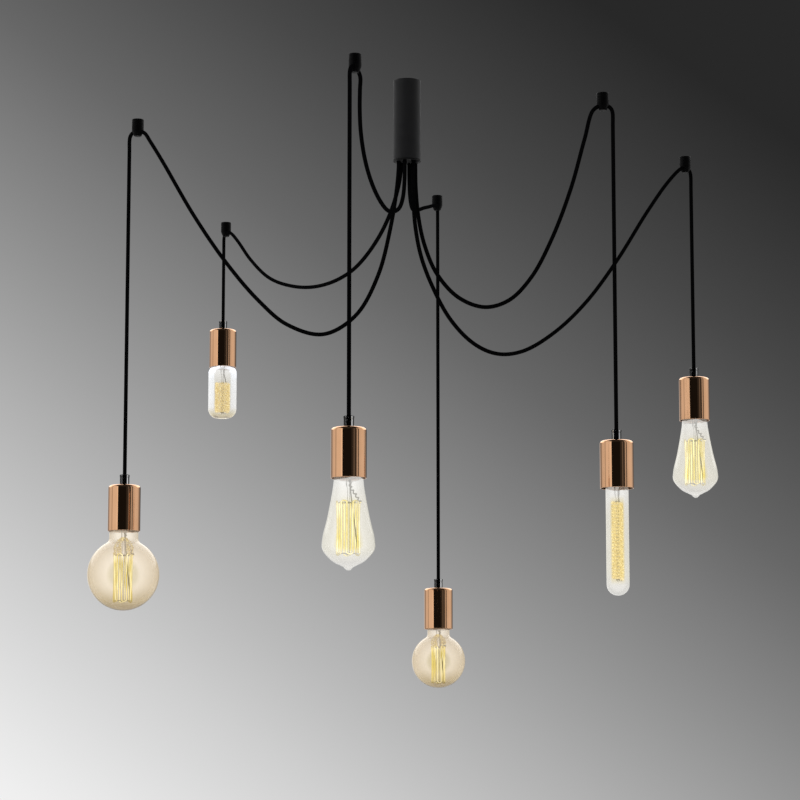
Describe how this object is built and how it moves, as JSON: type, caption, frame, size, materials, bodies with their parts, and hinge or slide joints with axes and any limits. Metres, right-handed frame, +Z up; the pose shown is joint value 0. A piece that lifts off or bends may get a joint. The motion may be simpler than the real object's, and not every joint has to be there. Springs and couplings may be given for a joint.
{
  "type": "pendant light",
  "caption": "Cluster pendant light: slim black tube canopy, black cords draped over ceiling hooks, copper cups with filament bulbs of mixed shapes.",
  "frame": {"origin": "centre of the top face of the canopy's fixing bracket, at the ceiling", "axes": "+Z up into the ceiling, -Y towards the viewer of the picture, +X to the right"},
  "size_m": [0.861, 1.0882, 0.75],
  "materials": {
    "powder_black": "fine matt powder coat",
    "steel": "zinc plated",
    "white_plastic": "satin",
    "black_plastic": "matt",
    "cord": "matt round cord",
    "clear_plastic": "clear, slightly smoky",
    "copper": "polished copper plate",
    "cap_metal": "bright",
    "clear_glass": "clear",
    "amber_glass": "clear, light amber",
    "filament": "glowing"
  },
  "bodies": {
    "canopy": {"canopy_tube": "powder_black", "canopy_end_plate": "powder_black", "end_plate_screw": "powder_black", "ceiling_bracket": "steel", "terminal_block": "white_plastic", "hook_1": "black_plastic", "cord_swag_1": "cord", "hook_2": "black_plastic", "cord_swag_2": "cord", "hook_3": "black_plastic", "cord_swag_3": "cord", "hook_4": "black_plastic", "cord_swag_4": "cord", "hook_5": "black_plastic", "cord_swag_5": "cord", "hook_6": "black_plastic", "cord_swag_6": "cord"},
    "pendant_1": {"cord_drop_1": "cord", "cord_grip_1": "clear_plastic", "socket_cup_1": "copper", "lampholder_1": "black_plastic"},
    "bulb_1": {"bulb_base_1": "cap_metal", "bulb_glass_1": "amber_glass", "bulb_filament_1": "filament"},
    "pendant_2": {"cord_drop_2": "cord", "cord_grip_2": "clear_plastic", "socket_cup_2": "copper", "lampholder_2": "black_plastic"},
    "bulb_2": {"bulb_base_2": "cap_metal", "bulb_glass_2": "clear_glass", "bulb_filament_2": "filament"},
    "pendant_3": {"cord_drop_3": "cord", "cord_grip_3": "clear_plastic", "socket_cup_3": "copper", "lampholder_3": "black_plastic"},
    "bulb_3": {"bulb_base_3": "cap_metal", "bulb_glass_3": "clear_glass", "bulb_filament_3": "filament"},
    "pendant_4": {"cord_drop_4": "cord", "cord_grip_4": "clear_plastic", "socket_cup_4": "copper", "lampholder_4": "black_plastic"},
    "bulb_4": {"bulb_base_4": "cap_metal", "bulb_glass_4": "amber_glass", "bulb_filament_4": "filament"},
    "pendant_5": {"cord_drop_5": "cord", "cord_grip_5": "clear_plastic", "socket_cup_5": "copper", "lampholder_5": "black_plastic"},
    "bulb_5": {"bulb_base_5": "cap_metal", "bulb_glass_5": "clear_glass", "bulb_filament_5": "filament"},
    "pendant_6": {"cord_drop_6": "cord", "cord_grip_6": "clear_plastic", "socket_cup_6": "copper", "lampholder_6": "black_plastic"},
    "bulb_6": {"bulb_base_6": "cap_metal", "bulb_glass_6": "clear_glass", "bulb_filament_6": "filament"}
  },
  "joints": [
    {"name": "pendant_1_swing", "type": "hinge", "parent": "canopy", "child": "pendant_1", "pos_m": [-0.3746, 0.20771, -0.0293], "axis": [0.5007, 0.8656, 0], "range_deg": [-15, 15]},
    {"name": "bulb_1_out", "type": "slide", "parent": "pendant_1", "child": "bulb_1", "axis": [0, 0, -1], "range_m": [0, 0.045]},
    {"name": "pendant_2_swing", "type": "hinge", "parent": "canopy", "child": "pendant_2", "pos_m": [-0.29311, 0.89375, -0.0293], "axis": [0.9519, 0.3065, 0], "range_deg": [-15, 15]},
    {"name": "bulb_2_out", "type": "slide", "parent": "pendant_2", "child": "bulb_2", "axis": [0, 0, -1], "range_m": [0, 0.045]},
    {"name": "pendant_3_swing", "type": "hinge", "parent": "canopy", "child": "pendant_3", "pos_m": [-0.07019, -0.13988, -0.0293], "axis": [-0.8869, 0.4621, 0], "range_deg": [-15, 15]},
    {"name": "bulb_3_out", "type": "slide", "parent": "pendant_3", "child": "bulb_3", "axis": [0, 0, -1], "range_m": [0, 0.045]},
    {"name": "pendant_4_swing", "type": "hinge", "parent": "canopy", "child": "pendant_4", "pos_m": [0.0489, 0.69337, -0.0293], "axis": [0.9977, -0.0673, 0], "range_deg": [-15, 15]},
    {"name": "bulb_4_out", "type": "slide", "parent": "pendant_4", "child": "bulb_4", "axis": [0, 0, -1], "range_m": [0, 0.045]},
    {"name": "pendant_5_swing", "type": "hinge", "parent": "canopy", "child": "pendant_5", "pos_m": [0.26704, 0.06306, -0.0293], "axis": [0.2286, -0.9735, 0], "range_deg": [-15, 15]},
    {"name": "bulb_5_out", "type": "slide", "parent": "pendant_5", "child": "bulb_5", "axis": [0, 0, -1], "range_m": [0, 0.045]},
    {"name": "pendant_6_swing", "type": "hinge", "parent": "canopy", "child": "pendant_6", "pos_m": [0.40904, 0.43089, -0.0293], "axis": [0.7379, -0.675, 0], "range_deg": [-15, 15]},
    {"name": "bulb_6_out", "type": "slide", "parent": "pendant_6", "child": "bulb_6", "axis": [0, 0, -1], "range_m": [0, 0.045]}
  ]
}
